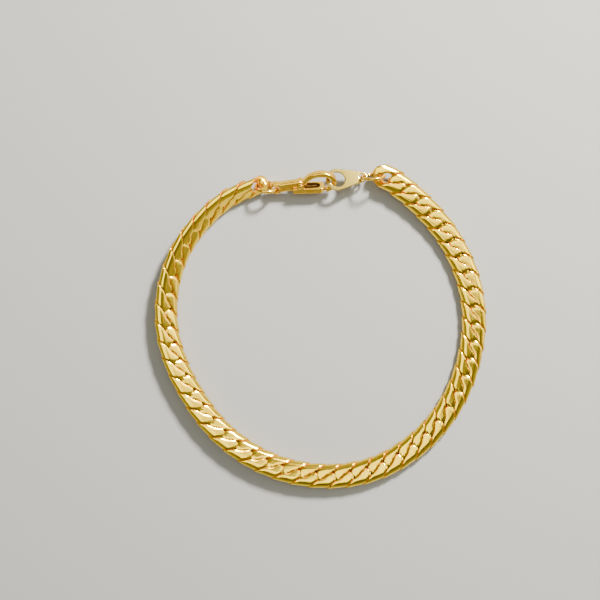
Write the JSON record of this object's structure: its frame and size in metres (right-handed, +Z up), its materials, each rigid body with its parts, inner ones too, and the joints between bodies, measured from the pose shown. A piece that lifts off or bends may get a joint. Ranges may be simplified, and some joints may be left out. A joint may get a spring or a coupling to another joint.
{
  "type": "link bracelet",
  "caption": "Link bracelet lying closed: tight flat-faced curb chain, claw clasp with a sprung lever on a jump ring, hooked through a teardrop plate with two holes.",
  "frame": {"origin": "on the table under the middle of the closed loop", "axes": "+Z up from the table, +Y towards the clasp, +X towards the end of the chain that the plate holds"},
  "size_m": [0.0682, 0.0664, 0.0051],
  "materials": {
    "gold": "polished",
    "pale_gold": "satin"
  },
  "bodies": {
    "bracelet": {"chain": "gold", "clasp_ring": "gold", "clasp_body": "gold", "clasp_pin": "pale_gold", "tag_plate": "pale_gold", "plate_ring": "gold"},
    "lever": {"clasp_lever": "gold"}
  },
  "joints": [
    {"name": "lever_hinge", "type": "hinge", "parent": "bracelet", "child": "lever", "pos_m": [-0.00431, 0.02944, 0.00253], "axis": [0.0247, -0.7067, 0.7071], "range_deg": [0, 22], "stiffness_Nm_per_rad": 0.002, "springref_deg": -17.19}
  ]
}
